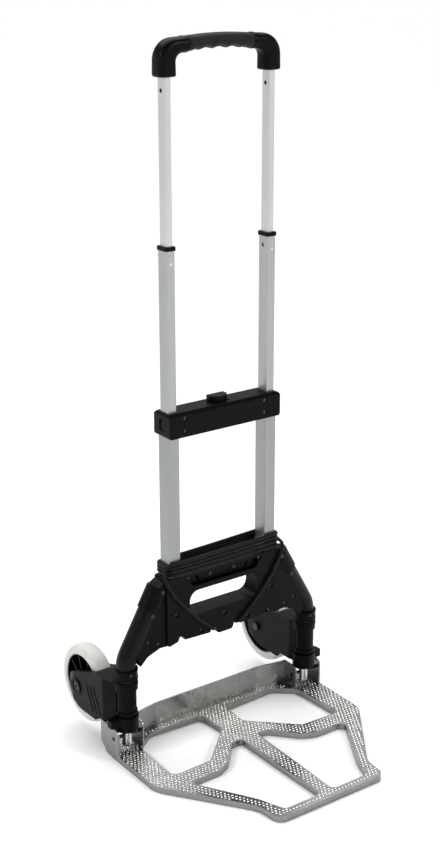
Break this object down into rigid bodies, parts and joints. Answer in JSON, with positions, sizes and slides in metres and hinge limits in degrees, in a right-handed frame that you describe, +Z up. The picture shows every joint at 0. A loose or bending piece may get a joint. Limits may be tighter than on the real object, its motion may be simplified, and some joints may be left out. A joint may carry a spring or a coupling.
{
  "type": "folding hand truck",
  "caption": "Folding hand truck with a telescopic handle, swinging wheels and a pierced aluminium toe plate.",
  "frame": {"origin": "on the floor, under the middle of the footprint from the plate edge to the back of the tyres", "axes": "+X to the right seen from the load side, -Y towards the front edge of the toe plate, +Z up"},
  "size_m": [0.404, 0.447, 1.058],
  "materials": {
    "black_plastic": "satin, fine moulded grain",
    "soft_grip": "matte, pebbled",
    "black_steel": "satin powder coat",
    "anodised_tube": "satin anodised, drawn along its length",
    "plate_aluminium": "bright, raised tread pattern",
    "zinc_steel": "zinc plated",
    "screw_steel": "zinc plated, dull",
    "nylon": "natural nylon",
    "black_rim": "satin",
    "pale_tyre": "smooth off-white rubber",
    "cord_cover": "braided cover"
  },
  "bodies": {
    "frame": {"body_front_shell": "black_plastic", "body_rear_shell": "black_plastic", "body_screws": "screw_steel", "leg_tube_left": "black_steel", "leg_tube_right": "black_steel", "leg_collar_left": "black_plastic", "leg_collar_right": "black_plastic", "collar_screws": "screw_steel", "pivot_post_left": "zinc_steel", "pivot_post_right": "zinc_steel", "post_plugs": "black_plastic", "thrust_washers": "nylon", "retaining_rings": "zinc_steel", "hinge_pin_left": "zinc_steel", "hinge_pin_right": "zinc_steel", "outer_tube_left": "anodised_tube", "outer_tube_right": "anodised_tube", "crossbar_front_shell": "black_plastic", "crossbar_rear_shell": "black_plastic", "crossbar_screws": "screw_steel", "latch_spring": "zinc_steel", "elastic_cord": "cord_cover", "cord_stops": "cord_cover"},
    "latch_left": {"latch_left": "zinc_steel"},
    "latch_right": {"latch_right": "zinc_steel"},
    "release_button": {"release_button": "black_plastic"},
    "mid_stage": {"mid_tube_left": "anodised_tube", "mid_tube_right": "anodised_tube", "mid_cap_left": "black_plastic", "mid_cap_right": "black_plastic", "mid_bush_left": "nylon", "mid_bush_right": "nylon", "cap_rivets": "zinc_steel"},
    "top_stage": {"top_tube_left": "anodised_tube", "top_tube_right": "anodised_tube", "top_bush_left": "nylon", "top_bush_right": "nylon", "handle_elbow_left": "black_plastic", "handle_elbow_right": "black_plastic", "grip": "soft_grip", "handle_screws": "screw_steel"},
    "toe_plate": {"toe_plate": "plate_aluminium"},
    "bracket_left": {"wheel_bracket_left": "black_plastic", "pivot_bush_left": "nylon", "axle_bolt_left": "zinc_steel", "axle_nut_left": "zinc_steel"},
    "wheel_left": {"wheel_rim_left": "black_rim", "tyre_left": "pale_tyre", "wheel_bush_left": "nylon"},
    "bracket_right": {"wheel_bracket_right": "black_plastic", "pivot_bush_right": "nylon", "axle_bolt_right": "zinc_steel", "axle_nut_right": "zinc_steel"},
    "wheel_right": {"wheel_rim_right": "black_rim", "tyre_right": "pale_tyre", "wheel_bush_right": "nylon"}
  },
  "joints": [
    {"name": "middle_slide", "type": "slide", "parent": "frame", "child": "mid_stage", "axis": [0, 0, -1], "range_m": [0, 0.234]},
    {"name": "top_slide", "type": "slide", "parent": "mid_stage", "child": "top_stage", "axis": [0, 0, -1], "range_m": [0, 0.228]},
    {"name": "button_press", "type": "slide", "parent": "frame", "child": "release_button", "axis": [0, 0, -1], "range_m": [0, 0.004], "stiffness_N_per_m": 400, "springref_m": -0.002},
    {"name": "latch_left_draw", "type": "slide", "parent": "frame", "child": "latch_left", "axis": [1, 0, 0], "range_m": [0, 0.004]},
    {"name": "latch_right_draw", "type": "slide", "parent": "frame", "child": "latch_right", "axis": [-1, 0, 0], "range_m": [0, 0.004]},
    {"name": "plate_fold", "type": "hinge", "parent": "frame", "child": "toe_plate", "pos_m": [0, 0.0585, 0.0345], "axis": [-1, 0, 0], "range_deg": [0, 90]},
    {"name": "bracket_left_swing", "type": "hinge", "parent": "frame", "child": "bracket_left", "pos_m": [-0.171, 0.0585, 0.09], "axis": [0, 0, -1], "range_deg": [0, 90]},
    {"name": "bracket_right_swing", "type": "hinge", "parent": "frame", "child": "bracket_right", "pos_m": [0.171, 0.0585, 0.09], "axis": [0, 0, 1], "range_deg": [0, 90]},
    {"name": "wheel_left_spin", "type": "hinge", "parent": "bracket_left", "child": "wheel_left", "pos_m": [-0.173, 0.161, 0.0795], "axis": [1, 0, 0], "continuous": true},
    {"name": "wheel_right_spin", "type": "hinge", "parent": "bracket_right", "child": "wheel_right", "pos_m": [0.173, 0.161, 0.0795], "axis": [1, 0, 0], "continuous": true}
  ],
  "couplings": [
    {"joint": "latch_left_draw", "follows": "button_press", "ratio": 1},
    {"joint": "latch_right_draw", "follows": "button_press", "ratio": 1},
    {"joint": "bracket_left_swing", "follows": "plate_fold", "ratio": 1},
    {"joint": "bracket_right_swing", "follows": "plate_fold", "ratio": 1}
  ]
}
